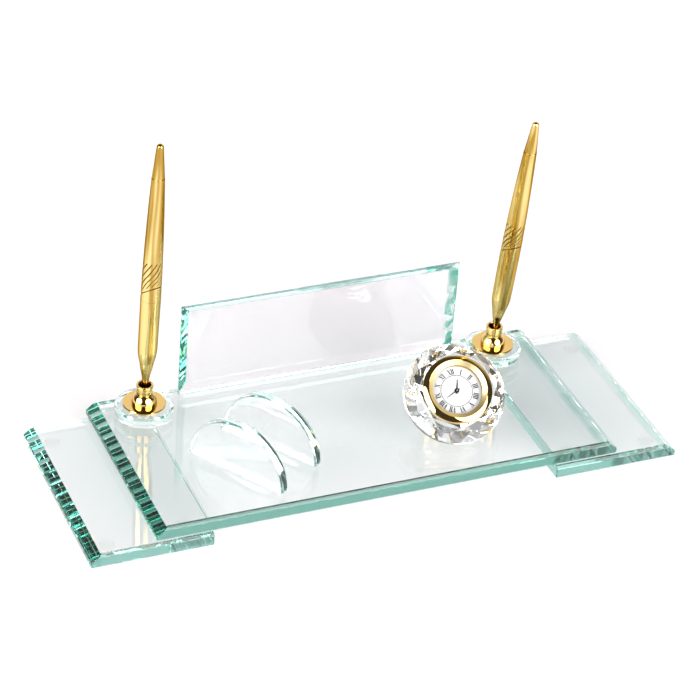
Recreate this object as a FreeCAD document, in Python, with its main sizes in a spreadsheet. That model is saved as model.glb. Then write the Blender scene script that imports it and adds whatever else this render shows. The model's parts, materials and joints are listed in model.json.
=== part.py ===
import FreeCAD, Part
import math
import os
import Sketcher

# Jade-glass desk set: stacked glass plates, an upright plate, a card stand of two half discs,
# two ball-seated pens on glass discs and a clock set into a diamond-cut crystal.
# Millimetres, +Z up, length along X, front towards -Y, origin under the middle of the base.

SIZES = {
    # stacked base plates
    "base_length": 356.0,
    "plate_depth": 125.0,
    "plate_thickness": 8.0,
    "left_plate_width": 70.5,
    "right_plate_width": 77.0,
    "end_step": 38.0,
    "upper_plate_setback": 2.4,
    "end_bevel_width": 5.8,
    "end_bevel_drop": 4.8,
    "long_edge_bevel": 1.6,
    "glue_line": 0.1,
    # clear bumpers under the lower plates
    "foot_radius": 4.0,
    "foot_height": 1.0,
    "foot_inset": 13.0,
    # upright plate at the back
    "upright_end_gap": 53.3,
    "upright_height": 60.0,
    "upright_thickness": 5.0,
    "upright_bevel_width": 5.4,
    "upright_bevel_drop": 3.6,
    "upright_back_margin": 3.0,
    # card stand
    "leaf_radius": 31.85,
    "leaf_thickness": 6.0,
    "leaf_bevel": 0.8,
    "card_gap": 26.8,
    "card_inset": 57.95,
    "card_front_of_middle": 25.45,
    # pen stations
    "left_pen_inset": 28.7,
    "left_pen_back": 18.4,
    "right_pen_inset": 31.9,
    "right_pen_back": 19.9,
    "disc_radius": 17.0,
    "disc_thickness": 6.0,
    "disc_bevel": 1.2,
    # gold socket on the disc
    "flange_radius": 12.5,
    "flange_edge": 0.9,
    "flange_dish": 0.2,
    "flange_break": 0.3,
    "dome_radius": 7.4,
    "dome_height": 1.0,
    "cup_foot_radius": 4.7,
    "cup_lip_radius": 5.05,
    "cup_height": 13.0,
    "lip_round": 0.5,
    "mouth_radius": 3.7,
    # ball seat inside the socket and the plug that keeps it in
    "ball_radius": 3.9,
    "ball_height": 4.2,
    "ball_play": 0.3,
    "ball_top": 2.2,
    "ball_bottom": 2.4,
    "seat_neck_radius": 2.25,
    "seat_neck_top": 5.3,
    "seat_floor": 0.4,
    "seat_point_hole": 0.9,
    "plug_clearance": 0.02,
    "plug_rim_height": 2.2,
    "plug_floor": 0.8,
    "plug_rim_bore": 3.45,
    # pen shell, heights from the nose tip
    "nose_tip_radius": 1.15,
    "nose_neck_radius": 1.9,
    "nose_neck_height": 10.5,
    "nose_flare_radius": 3.0,
    "nose_flare_height": 17.6,
    "nose_end_radius": 4.1,
    "nose_end_height": 23.8,
    "nose_curve": 45.0,
    "nose_spigot_radius": 3.0,
    "nose_spigot_length": 6.0,
    "nose_spigot_bore": 2.4,
    "barrel_shoulder_radius": 5.6,
    "barrel_shoulder_height": 34.0,
    "barrel_shoulder_curve": 40.0,
    "barrel_radius": 5.8,
    "barrel_top": 66.4,
    "barrel_bore": 3.3,
    "barrel_spigot_radius": 4.0,
    "barrel_spigot_length": 11.6,
    "joint_ring_radius": 5.65,
    "joint_ring_height": 0.5,
    "turning_gap": 0.1,
    "upper_barrel_top": 144.6,
    "upper_barrel_end_radius": 3.7,
    "upper_barrel_bow": 1900.0,
    "upper_barrel_bore_top": 80.0,
    "sleeve_top": 100.0,
    "sleeve_radius": 3.6,
    "sleeve_bore": 2.1,
    "hollow_radius": 2.6,
    "cap_wall": 14.6,
    "top_ring_radius": 3.4,
    "top_ring_height": 0.5,
    "cone_base_radius": 3.6,
    "cone_end_radius": 2.0,
    "cone_length": 19.0,
    "cone_cap_height": 1.6,
    "cone_spigot_radius": 2.2,
    "cone_spigot_length": 5.9,
    "press_clearance": 0.02,
    # refill
    "point_ball_radius": 0.35,
    "point_radius": 0.5,
    "point_recess": 0.3,
    "point_cone_height": 0.9,
    "point_straight_top": 4.8,
    "point_body_bottom": 6.2,
    "point_body_radius": 0.9,
    "refill_bottom": 13.0,
    "point_stub_radius": 0.78,
    "point_stub_length": 4.0,
    "refill_radius": 1.2,
    "refill_bore": 0.8,
    "refill_length": 77.0,
    "carrier_radius": 2.0,
    "carrier_bottom": 76.0,
    "carrier_top": 92.0,
    "slide_clearance": 0.1,
    "nose_lip_height": 1.6,
    "nose_step_height": 2.8,
    "nose_bore_step": 9.6,
    "nose_bore_rise": 0.4,
    # diamond-cut crystal, heights from the middle of the girdle
    "girdle_radius": 29.6,
    "girdle_half": 1.0,
    "table_radius": 22.5,
    "table_height": 9.5,
    "culet_depth": 22.0,
    "bore_radius": 17.8,
    "bore_depth": 13.5,
    "crystal_inset": 85.34,
    "crystal_front_of_middle": 15.86,
    "cut_overrun": 10.0,
    # clock insert, heights from the crystal's table
    "bezel_radius": 20.2,
    "bezel_height": 2.6,
    "bezel_crest_radius": 17.2,
    "bezel_curve": 2.8,
    "bezel_opening": 14.4,
    "bezel_inner_height": 0.7,
    "lens_radius": 16.5,
    "lens_top": 0.5,
    "lens_thickness": 1.2,
    "lens_clearance": 0.1,
    "skirt_radius": 17.3,
    "skirt_depth": 1.8,
    "dial_radius": 15.5,
    "dial_top": 2.8,
    "dial_thickness": 0.4,
    "dial_hole": 0.9,
    "case_ledge_bore": 14.9,
    "case_ledge_thickness": 0.8,
    "case_bore": 16.4,
    "case_depth": 10.4,
    "back_thickness": 1.0,
    "back_clearance": 0.05,
    "movement_radius": 14.7,
    "grip_radius": 17.75,
    "grip_top": 5.0,
    "grip_bottom": 9.0,
    "cell_radius": 3.4,
    "cell_thickness": 2.6,
    "cell_clearance": 0.2,
    "cell_offset": 8.0,
    "hatch_radius": 4.2,
    "knob_offset": 8.0,
    "knob_radius": 2.4,
    "knob_height": 1.6,
    "knob_gap": 0.2,
    "knob_shaft_radius": 0.6,
    "knob_shaft_top": 5.0,
    "arbor_radius": 0.4,
    "arbor_top": 1.2,
    "arbor_bottom": 8.4,
    "arbor_end_gap": 0.4,
    "pipe_radius": 0.8,
    "pipe_top": 2.15,
    "pipe_bottom": 5.8,
    "pipe_end_gap": 0.2,
    "hand_thickness": 0.25,
    "hour_hand_bottom": 2.55,
    "hour_hand_length": 6.7,
    "hour_hand_boss": 1.35,
    "hour_hand_half_width": 0.42,
    "minute_hand_bottom": 1.8,
    "minute_hand_length": 7.5,
    "minute_hand_boss": 1.0,
    "minute_hand_half_width": 0.32,
    "hand_tip_half_width": 0.14,
    "hand_tail": 1.9,
}

# Directions and turns in degrees.
CARD_TURN = -56.13
LEFT_PEN_LEAN = 1.35
LEFT_PEN_LEAN_TURN = 65.0
RIGHT_PEN_LEAN = 10.1
RIGHT_PEN_LEAN_TURN = -9.0
CRYSTAL_TURN = -12.0
PAVILION_ANGLE = 40.0
LOWER_GIRDLE_ANGLE = 42.5
CROWN_ANGLE = 47.0
UPPER_GIRDLE_ANGLE = 54.0
STAR_ANGLE = 28.0
DIAL_TURN = 12.0
HOUR_HAND_TURN = -20.75
MINUTE_HAND_TURN = -249.0
FACET_COUNT = 8
GIRDLE_FACET_COUNT = 16


class Size:
    """A length with its present value and the sheet formula that gives it."""

    def __init__(self, value, text):
        self.value = value
        self.text = text

    def __add__(self, other):
        return Size(self.value + other.value, "(%s + %s)" % (self.text, other.text))

    def __sub__(self, other):
        return Size(self.value - other.value, "(%s - %s)" % (self.text, other.text))

    def __mul__(self, share):
        return Size(self.value * share, "(%s * %.12f)" % (self.text, share))

    def __truediv__(self, share):
        return Size(self.value / share, "(%s / %.12f)" % (self.text, share))

    def __neg__(self):
        return Size(-self.value, "(0 - %s)" % self.text)


ZERO = Size(0.0, "0")


def leg(long_side, short_side):
    """The other leg of a right triangle."""
    value = math.sqrt(long_side.value ** 2 - short_side.value ** 2)
    return Size(value, "sqrt(%s ^ 2 - %s ^ 2)" % (long_side.text, short_side.text))


def cap_radius(half_width, height):
    """The radius of a round cap of this half width and height."""
    value = (half_width.value ** 2 + height.value ** 2) / (2 * height.value)
    text = "((%s ^ 2 + %s ^ 2) / (2 * %s))" % (half_width.text, height.text, height.text)
    return Size(value, text)


def ratio(low, whole):
    """A plain share of two lengths."""
    return low.value / whole.value


doc = FreeCAD.newDocument("desk_set")
sheet = doc.addObject("Spreadsheet::Sheet", "Sizes")
sheet.Label = "Sizes"
S = {}
for row, (name, number) in enumerate(SIZES.items(), start=1):
    sheet.set("A%d" % row, name)
    sheet.set("B%d" % row, repr(number))
    sheet.setAlias("B%d" % row, name)
    S[name] = Size(number, "Sizes." + name)
doc.recompute()

UP = FreeCAD.Vector(0, 0, 1)
ALONG = FreeCAD.Vector(1, 0, 0)
LEVEL = FreeCAD.Rotation(UP, 0)
pieces = []


def new_body(label):
    body = doc.addObject("PartDesign::Body", label)
    body.Label = label
    pieces.append(body)
    return body


def plane_sketch(body, role, turn=0):
    """A sketch on one of the body's own planes, turned about the plane's upright axis."""
    sketch = body.newObject("Sketcher::SketchObject", body.Label + "_outline")
    plane = [item for item in body.Origin.OriginFeatures if item.Role == role][0]
    sketch.AttachmentSupport = [(plane, "")]
    sketch.MapMode = "FlatFace"
    if turn:
        sketch.AttachmentOffset = FreeCAD.Placement(
            FreeCAD.Vector(0, 0, 0), FreeCAD.Rotation(FreeCAD.Vector(0, 1, 0), turn))
    return sketch


def pin(sketch, element, position, x, y):
    """Hold one point of the outline at its named distances from the sketch origin."""
    for kind, size, axis in (("DistanceX", x, -2), ("DistanceY", y, -1)):
        if size is ZERO:
            sketch.addConstraint(Sketcher.Constraint("PointOnObject", element, position, axis))
            continue
        index = sketch.addConstraint(
            Sketcher.Constraint(kind, -1, 1, element, position, size.value))
        sketch.setExpression("Constraints[%d]" % index, size.text)


def arc_through(start, end, radius, turn):
    """The short arc between two points, bulging right of the path for turn 1, left for -1."""
    chord = end - start
    middle = (start + end) * 0.5
    height = math.sqrt(max(radius ** 2 - (chord.Length * 0.5) ** 2, 0.0))
    side = FreeCAD.Vector(-chord.y, chord.x, 0).normalize() * turn
    centre = middle + side * height
    first, last = (start, end) if turn > 0 else (end, start)
    begin = math.atan2(first.y - centre.y, first.x - centre.x)
    finish = math.atan2(last.y - centre.y, last.x - centre.x)
    if finish < begin:
        finish += 2 * math.pi
    return Part.ArcOfCircle(Part.Circle(centre, UP, radius), begin, finish)


def draw(sketch, steps):
    """Draw one closed outline; a step is (x, y) for a line or (x, y, radius, turn) for an arc."""
    points = [FreeCAD.Vector(step[0].value, step[1].value, 0) for step in steps]
    elements = []
    for number, step in enumerate(steps):
        start = points[number - 1]
        end = points[number]
        if len(step) == 2:
            element = sketch.addGeometry(Part.LineSegment(start, end), False)
            elements.append((element, 1, 2))
        else:
            arc = arc_through(start, end, step[2].value, step[3])
            element = sketch.addGeometry(arc, False)
            ends = (1, 2) if step[3] > 0 else (2, 1)
            elements.append((element, ends[0], ends[1]))
    for number, (element, begin, finish) in enumerate(elements):
        after = elements[(number + 1) % len(elements)]
        sketch.addConstraint(
            Sketcher.Constraint("Coincident", element, finish, after[0], after[1]))
    for (element, begin, finish), step in zip(elements, steps):
        pin(sketch, element, finish, step[0], step[1])
        if len(step) > 2:
            index = sketch.addConstraint(
                Sketcher.Constraint("Radius", element, step[2].value))
            sketch.setExpression("Constraints[%d]" % index, step[2].text)


def draw_circle(sketch, x, y, radius):
    centre = FreeCAD.Vector(x.value, y.value, 0)
    element = sketch.addGeometry(Part.Circle(centre, UP, radius.value), False)
    pin(sketch, element, 3, x, y)
    index = sketch.addConstraint(Sketcher.Constraint("Radius", element, radius.value))
    sketch.setExpression("Constraints[%d]" % index, radius.text)


def turned(label, steps):
    """A body turned about its upright axis."""
    body = new_body(label)
    sketch = plane_sketch(body, "XZ_Plane")
    draw(sketch, steps)
    turn = body.newObject("PartDesign::Revolution", label + "_turned")
    turn.Profile = sketch
    turn.ReferenceAxis = (sketch, ["V_Axis"])
    turn.Angle = 360.0
    body.Tip = turn
    return body


def slab(label, role, steps, thickness):
    """A body of even thickness about one of its planes."""
    body = new_body(label)
    sketch = plane_sketch(body, role)
    draw(sketch, steps)
    pad = body.newObject("PartDesign::Pad", label + "_slab")
    pad.Profile = sketch
    pad.SideType = "Symmetric"
    pad.setExpression("Length", thickness.text)
    body.Tip = pad
    return body


def cut_through(body, role, outlines, turn=0):
    """Cut outlines right through the body, both ways from one of its planes."""
    sketch = plane_sketch(body, role, turn)
    for steps in outlines:
        draw(sketch, steps)
    cut = body.newObject("PartDesign::Pocket", body.Label + "_cut")
    cut.Profile = sketch
    cut.SideType = "Symmetric"
    cut.Type = "ThroughAll"
    body.Tip = cut
    return cut


def drill(body, holes, depth=None):
    """Drill round holes along the body's upright axis, from its foot up or right through."""
    sketch = plane_sketch(body, "XY_Plane")
    for x, y, radius in holes:
        draw_circle(sketch, x, y, radius)
    cut = body.newObject("PartDesign::Pocket", body.Label + "_holes")
    cut.Profile = sketch
    if depth is None:
        cut.SideType = "Symmetric"
        cut.Type = "ThroughAll"
    else:
        cut.Reversed = True
        cut.setExpression("Length", depth.text)
    body.Tip = cut
    return cut


def around(body, feature, count):
    """Repeat a cut evenly about the body's upright axis."""
    axis = [item for item in body.Origin.OriginFeatures if item.Role == "Z_Axis"][0]
    pattern = body.newObject("PartDesign::PolarPattern", body.Label + "_around")
    pattern.Originals = [feature]
    pattern.Axis = (axis, [""])
    pattern.Angle = 360.0
    pattern.Occurrences = count
    body.Tip = pattern


def corner(side, top, across, down, over):
    """The outline that takes a bevel off an upper corner; side is the outer face."""
    out = over if side.value > 0 else -over
    inner = side - across if side.value > 0 else side + across
    return [(inner, top), (side, top - down), (side + out, top - down), (side + out, top + over),
            (inner, top + over)]


def place(item, frame, x=ZERO, y=ZERO, z=ZERO, turn=0):
    """Set a piece at an offset in a frame, turned about the frame's upright axis."""
    origin, rotation = frame
    columns = [rotation.multVec(axis) for axis in (ALONG, FreeCAD.Vector(0, 1, 0), UP)]
    base = []
    for part, start in zip("xyz", origin):
        total = start
        for offset, column in zip((x, y, z), columns):
            if offset is not ZERO:
                total = total + offset * getattr(column, part)
        base.append(total)
    item.Placement = FreeCAD.Placement(
        FreeCAD.Vector(*[size.value for size in base]),
        rotation * FreeCAD.Rotation(UP, turn))
    for part, size in zip("xyz", base):
        item.setExpression("Placement.Base." + part, size.text)


def frame_at(x, y, z, rotation=LEVEL):
    return ((x, y, z), rotation)


half_length = S["base_length"] / 2
half_depth = S["plate_depth"] / 2
half_setback = S["upper_plate_setback"] / 2
thickness = S["plate_thickness"]
plate_foot = S["foot_height"] + S["glue_line"]
lower_top = plate_foot + thickness
upper_foot = lower_top + S["glue_line"]
deck = upper_foot + thickness + S["glue_line"]
half_upper = half_length - S["end_step"]
back_edge = half_depth + half_setback
over = S["cut_overrun"]


def long_bevels(body):
    """The narrow bevels along the front and back top edges of a plate."""
    bevel = S["long_edge_bevel"]
    cut_through(body, "YZ_Plane", [corner(half_depth, thickness, bevel, bevel, over),
                                   corner(-half_depth, thickness, bevel, bevel, over)])


# Lower plates: the outer short end is bevelled, the inner end is plain.
shoulder = thickness - S["end_bevel_drop"]
left_plate = slab("lower_plate_left", "XZ_Plane", [
    (ZERO, ZERO), (S["left_plate_width"], ZERO), (S["left_plate_width"], thickness),
    (S["end_bevel_width"], thickness), (ZERO, shoulder)], S["plate_depth"])
long_bevels(left_plate)
place(left_plate, frame_at(-half_length, -half_setback, plate_foot))

right_plate = slab("lower_plate_right", "XZ_Plane", [
    (ZERO, ZERO), (ZERO, shoulder), (-S["end_bevel_width"], thickness),
    (-S["right_plate_width"], thickness), (-S["right_plate_width"], ZERO)], S["plate_depth"])
long_bevels(right_plate)
place(right_plate, frame_at(half_length, -half_setback, plate_foot))

# Upper plate: both short ends bevelled.
upper_plate = slab("upper_plate", "XZ_Plane", [
    (-half_upper, ZERO), (half_upper, ZERO), (half_upper, shoulder),
    (half_upper - S["end_bevel_width"], thickness), (S["end_bevel_width"] - half_upper, thickness),
    (-half_upper, shoulder)], S["plate_depth"])
long_bevels(upper_plate)
place(upper_plate, frame_at(ZERO, half_setback, upper_foot))

# Clear bumpers, four under each lower plate.
feet = []
front_foot = S["foot_inset"] - half_depth - half_setback
back_foot = half_depth - half_setback - S["foot_inset"]
foot_columns = (S["foot_inset"] - half_length,
                S["left_plate_width"] - half_length - S["foot_inset"],
                half_length - S["right_plate_width"] + S["foot_inset"],
                half_length - S["foot_inset"])
for column in foot_columns:
    for row in (front_foot, back_foot):
        foot = doc.addObject("Part::Cylinder", "foot")
        foot.setExpression("Radius", S["foot_radius"].text)
        foot.setExpression("Height", S["foot_height"].text)
        place(foot, frame_at(column, row, ZERO))
        feet.append(foot)
foot_pads = doc.addObject("Part::Compound", "foot_pads")
foot_pads.Label = "foot_pads"
foot_pads.Links = feet
pieces.append(foot_pads)

# Upright plate: bevelled on its back face all round.
half_upright = half_upper - S["upright_end_gap"]
upright_back = S["upright_thickness"] / 2
upright = slab("upright_plate", "XZ_Plane", [
    (-half_upright, ZERO), (half_upright, ZERO), (half_upright, S["upright_height"]),
    (-half_upright, S["upright_height"])], S["upright_thickness"])
land_back = upright_back - S["upright_bevel_drop"]
cut_through(upright, "YZ_Plane", [
    corner(upright_back, S["upright_height"], S["upright_bevel_drop"], S["upright_bevel_width"], over),
    [(land_back, ZERO), (upright_back, S["upright_bevel_width"]),
     (upright_back + over, S["upright_bevel_width"]), (upright_back + over, ZERO - over),
     (land_back, ZERO - over)]])
cut_through(upright, "XY_Plane", [
    corner(half_upright, upright_back, S["upright_bevel_width"], S["upright_bevel_drop"], over),
    corner(-half_upright, upright_back, S["upright_bevel_width"], S["upright_bevel_drop"], over)])
place(upright, frame_at(ZERO, back_edge - S["upright_back_margin"] - upright_back, deck))

# Card stand: two half discs standing on their straight edges, turned on the plate.
card_frame = frame_at(S["card_inset"] - half_upper, -S["card_front_of_middle"], deck,
                      FreeCAD.Rotation(UP, CARD_TURN))
half_leaf = S["leaf_thickness"] / 2
rear_leaf = half_leaf + S["leaf_thickness"] + S["card_gap"]
for label, back in (("card_leaf_front", half_leaf), ("card_leaf_rear", rear_leaf)):
    leaf = slab(label, "XZ_Plane", [
        (S["leaf_radius"], ZERO), (ZERO, S["leaf_radius"], S["leaf_radius"], 1),
        (-S["leaf_radius"], ZERO, S["leaf_radius"], 1)], S["leaf_thickness"])
    doc.recompute()
    blank = leaf.Tip
    rims = ["Edge%d" % (number + 1) for number, edge in enumerate(blank.Shape.Edges)
            if edge.Curve.TypeId == "Part::GeomCircle"]
    bevel = leaf.newObject("PartDesign::Chamfer", label + "_bevel")
    bevel.Base = (blank, rims)
    bevel.setExpression("Size", S["leaf_bevel"].text)
    leaf.Tip = bevel
    place(leaf, card_frame, y=back)


def pen_station(side, x, y, lean_rotation):
    """One glass disc with its gold socket, ball seat, plug and pen."""
    station_height = deck + S["disc_thickness"] + S["glue_line"]
    station = frame_at(x, y, station_height)
    disc = turned("pen_disc_" + side, [
        (ZERO, ZERO), (S["disc_radius"], ZERO),
        (S["disc_radius"], S["disc_thickness"] - S["disc_bevel"]),
        (S["disc_radius"] - S["disc_bevel"], S["disc_thickness"]), (ZERO, S["disc_thickness"])])
    place(disc, frame_at(x, y, deck))

    pocket = S["ball_radius"] + S["ball_play"]
    ball = S["ball_height"]
    flange_top = S["flange_edge"] - S["flange_dish"]
    dome_foot = leg(S["dome_radius"], S["dome_height"] - flange_top)
    cup_foot = S["dome_height"] + leg(S["dome_radius"], S["cup_foot_radius"])
    lip = S["lip_round"]
    socket = turned("pen_socket_" + side, [
        (pocket, ZERO), (S["flange_radius"], ZERO),
        (S["flange_radius"], S["flange_edge"] - S["flange_break"]),
        (S["flange_radius"] - S["flange_break"], S["flange_edge"]),
        (dome_foot, flange_top),
        (S["cup_foot_radius"], cup_foot, S["dome_radius"], 1),
        (S["cup_lip_radius"], S["cup_height"] - lip),
        (S["cup_lip_radius"] - lip, S["cup_height"], lip, 1),
        (S["mouth_radius"] + lip, S["cup_height"]),
        (S["mouth_radius"], S["cup_height"] - lip, lip, 1),
        (S["mouth_radius"], ball + leg(pocket, S["mouth_radius"])),
        (pocket, ball, pocket, -1)])
    place(socket, station)

    plug = turned("socket_plug_" + side, [
        (ZERO, ZERO), (pocket - S["plug_clearance"], ZERO),
        (pocket - S["plug_clearance"], S["plug_rim_height"]),
        (S["plug_rim_bore"], S["plug_rim_height"]), (S["plug_rim_bore"], S["plug_floor"]),
        (ZERO, S["plug_floor"])])
    place(plug, station)

    nose_slope_share = ratio(S["nose_neck_radius"] - S["nose_tip_radius"], S["nose_neck_height"])
    hole_foot = S["nose_tip_radius"] + S["slide_clearance"]
    hole_top = hole_foot + (S["seat_neck_top"] - S["seat_floor"]) * nose_slope_share
    seat_frame = frame_at(x, y, station_height + ball, lean_rotation)
    seat = turned("pen_seat_" + side, [
        (S["seat_point_hole"], -S["ball_bottom"]),
        (leg(S["ball_radius"], S["ball_bottom"]), -S["ball_bottom"]),
        (S["ball_radius"], ZERO, S["ball_radius"], 1),
        (leg(S["ball_radius"], S["ball_top"]), S["ball_top"], S["ball_radius"], 1),
        (S["seat_neck_radius"], S["ball_top"]), (S["seat_neck_radius"], S["seat_neck_top"]),
        (hole_top, S["seat_neck_top"]), (hole_foot, S["seat_floor"]),
        (S["seat_point_hole"], S["seat_floor"])])
    place(seat, seat_frame)
    pen(side, seat_frame)


def pen(side, seat_frame):
    """A twist pen; every piece is drawn from the nose tip up."""
    start = len(pieces)
    name = "pen_" + side + "_"
    press = S["press_clearance"]
    slide = S["slide_clearance"]
    spigot_top = S["nose_end_height"] + S["nose_spigot_length"]
    tip_bore = S["point_radius"] + slide
    point_bore = S["point_body_radius"] + slide
    tube_bore = S["refill_radius"] + slide
    turned(name + "nose_cone", [
        (tip_bore, ZERO), (S["nose_tip_radius"], ZERO),
        (S["nose_neck_radius"], S["nose_neck_height"]),
        (S["nose_flare_radius"], S["nose_flare_height"], S["nose_curve"], -1),
        (S["nose_end_radius"], S["nose_end_height"], S["nose_curve"], 1),
        (S["nose_spigot_radius"], S["nose_end_height"]),
        (S["nose_spigot_radius"], spigot_top), (S["nose_spigot_bore"], spigot_top),
        (S["nose_spigot_bore"], S["nose_flare_height"] + S["nose_step_height"]),
        (tube_bore, S["nose_flare_height"]),
        (tube_bore, S["nose_bore_step"] + S["nose_bore_rise"]), (point_bore, S["nose_bore_step"]),
        (point_bore, S["nose_step_height"]), (tip_bore, S["nose_lip_height"])])

    barrel_end = S["barrel_top"] + S["barrel_spigot_length"]
    turned(name + "lower_barrel", [
        (S["nose_spigot_radius"] + press, S["nose_end_height"]),
        (S["nose_end_radius"], S["nose_end_height"]),
        (S["barrel_shoulder_radius"], S["barrel_shoulder_height"], S["barrel_shoulder_curve"], 1),
        (S["barrel_radius"], S["barrel_top"]), (S["barrel_spigot_radius"], S["barrel_top"]),
        (S["barrel_spigot_radius"], barrel_end), (S["barrel_bore"], barrel_end),
        (S["barrel_bore"], spigot_top), (S["nose_spigot_radius"] + press, spigot_top)])

    ring_top = S["barrel_top"] + S["joint_ring_height"]
    turned(name + "joint_ring", [
        (S["barrel_spigot_radius"] + press, S["barrel_top"]),
        (S["joint_ring_radius"], S["barrel_top"]), (S["joint_ring_radius"], ring_top),
        (S["barrel_spigot_radius"] + press, ring_top)])

    shell_foot = ring_top + S["turning_gap"]
    hollow_top = S["upper_barrel_top"] - S["cap_wall"]
    spigot_bore = S["barrel_spigot_radius"] + slide
    turned(name + "upper_barrel", [
        (spigot_bore, shell_foot), (S["barrel_radius"], shell_foot),
        (S["upper_barrel_end_radius"], S["upper_barrel_top"], S["upper_barrel_bow"], 1),
        (S["cone_spigot_radius"] + press, S["upper_barrel_top"]),
        (S["cone_spigot_radius"] + press, hollow_top), (S["hollow_radius"], hollow_top),
        (S["hollow_radius"], S["sleeve_top"]), (S["sleeve_radius"] + press, S["sleeve_top"]),
        (S["sleeve_radius"] + press, S["upper_barrel_bore_top"]),
        (spigot_bore, S["upper_barrel_bore_top"])])

    turned(name + "twist_sleeve", [
        (S["sleeve_bore"], S["upper_barrel_bore_top"]),
        (S["sleeve_radius"], S["upper_barrel_bore_top"]), (S["sleeve_radius"], S["sleeve_top"]),
        (S["sleeve_bore"], S["sleeve_top"])])

    cap_foot = S["upper_barrel_top"] + S["top_ring_height"]
    turned(name + "top_ring", [
        (S["cone_spigot_radius"] + press, S["upper_barrel_top"]),
        (S["top_ring_radius"], S["upper_barrel_top"]), (S["top_ring_radius"], cap_foot),
        (S["cone_spigot_radius"] + press, cap_foot)])

    turned(name + "top_cone", [
        (ZERO, S["upper_barrel_top"] - S["cone_spigot_length"]),
        (S["cone_spigot_radius"], S["upper_barrel_top"] - S["cone_spigot_length"]),
        (S["cone_spigot_radius"], cap_foot), (S["cone_base_radius"], cap_foot),
        (S["cone_end_radius"], cap_foot + S["cone_length"]),
        (ZERO, cap_foot + S["cone_length"] + S["cone_cap_height"],
         cap_radius(S["cone_end_radius"], S["cone_cap_height"]), 1)])

    turned(name + "refill_point", [
        (ZERO, S["point_recess"]), (S["point_ball_radius"], S["point_recess"]),
        (S["point_radius"], S["point_recess"] + S["point_cone_height"]),
        (S["point_radius"], S["point_straight_top"]),
        (S["point_body_radius"], S["point_body_bottom"]),
        (S["point_body_radius"], S["refill_bottom"]), (S["point_stub_radius"], S["refill_bottom"]),
        (S["point_stub_radius"], S["refill_bottom"] + S["point_stub_length"]),
        (ZERO, S["refill_bottom"] + S["point_stub_length"])])

    refill_top = S["refill_bottom"] + S["refill_length"]
    turned(name + "refill_tube", [
        (S["refill_bore"], S["refill_bottom"]), (S["refill_radius"], S["refill_bottom"]),
        (S["refill_radius"], refill_top), (S["refill_bore"], refill_top)])

    turned(name + "refill_carrier", [
        (S["refill_radius"] + press, S["carrier_bottom"]),
        (S["carrier_radius"], S["carrier_bottom"]), (S["carrier_radius"], S["carrier_top"]),
        (ZERO, S["carrier_top"]), (ZERO, refill_top),
        (S["refill_radius"] + press, refill_top)])

    for piece in pieces[start:]:
        place(piece, seat_frame, z=S["seat_floor"])


def leaning(turn, lean):
    """The rotation of a pen that leans about a level axis, itself turned from the length."""
    return FreeCAD.Rotation(FreeCAD.Rotation(UP, turn).multVec(ALONG), lean)


pen_station("left", S["left_pen_inset"] - half_upper, back_edge - S["left_pen_back"],
            leaning(LEFT_PEN_LEAN_TURN, LEFT_PEN_LEAN))
pen_station("right", half_upper - S["right_pen_inset"], back_edge - S["right_pen_back"],
            leaning(RIGHT_PEN_LEAN_TURN, RIGHT_PEN_LEAN))

# Diamond-cut crystal lying on one main facet of its pavilion.
girdle = S["girdle_radius"]
half_girdle = S["girdle_half"]
table = S["table_height"]
lying_sine_share = math.sin(math.radians(PAVILION_ANGLE))
lying_cosine_share = math.cos(math.radians(PAVILION_ANGLE))
crystal_height = deck + girdle * lying_sine_share + half_girdle * lying_cosine_share
clock_rotation = FreeCAD.Rotation(UP, CRYSTAL_TURN) * FreeCAD.Rotation(ALONG, PAVILION_ANGLE)
clock_frame = frame_at(half_upper - S["crystal_inset"], -S["crystal_front_of_middle"],
                       crystal_height, clock_rotation)
crystal = turned("clock_crystal", [
    (ZERO, -S["culet_depth"]), (girdle, -S["culet_depth"]), (girdle, table),
    (S["bore_radius"], table), (S["bore_radius"], table - S["bore_depth"]),
    (ZERO, table - S["bore_depth"])])


def facets(angle, radius, height, count, turn, upward):
    """Plane cuts that pass through one point of the girdle or table and fall outward or inward."""
    slope_share = math.tan(math.radians(angle))
    reach = girdle + over
    low = height - (reach - radius) * slope_share
    high = height + radius * slope_share
    if upward:
        steps = [(ZERO, high), (reach, low), (reach, high + over), (ZERO, high + over)]
    else:
        steps = [(ZERO, -high), (ZERO, -(high + over)), (reach, -(high + over)), (reach, -low)]
    around(crystal, cut_through(crystal, "XZ_Plane", [steps], turn), count)


half_step = 180.0 / GIRDLE_FACET_COUNT
star_turn = 180.0 / FACET_COUNT
star_radius = S["table_radius"] * math.cos(math.radians(star_turn))
facets(CROWN_ANGLE, S["table_radius"], table, FACET_COUNT, 0, True)
facets(UPPER_GIRDLE_ANGLE, girdle, half_girdle, GIRDLE_FACET_COUNT, half_step, True)
facets(STAR_ANGLE, star_radius, table, FACET_COUNT, star_turn, True)
facets(PAVILION_ANGLE, girdle, half_girdle, FACET_COUNT, 0, False)
facets(LOWER_GIRDLE_ANGLE, girdle, half_girdle, GIRDLE_FACET_COUNT, half_step, False)
place(crystal, clock_frame)

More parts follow.
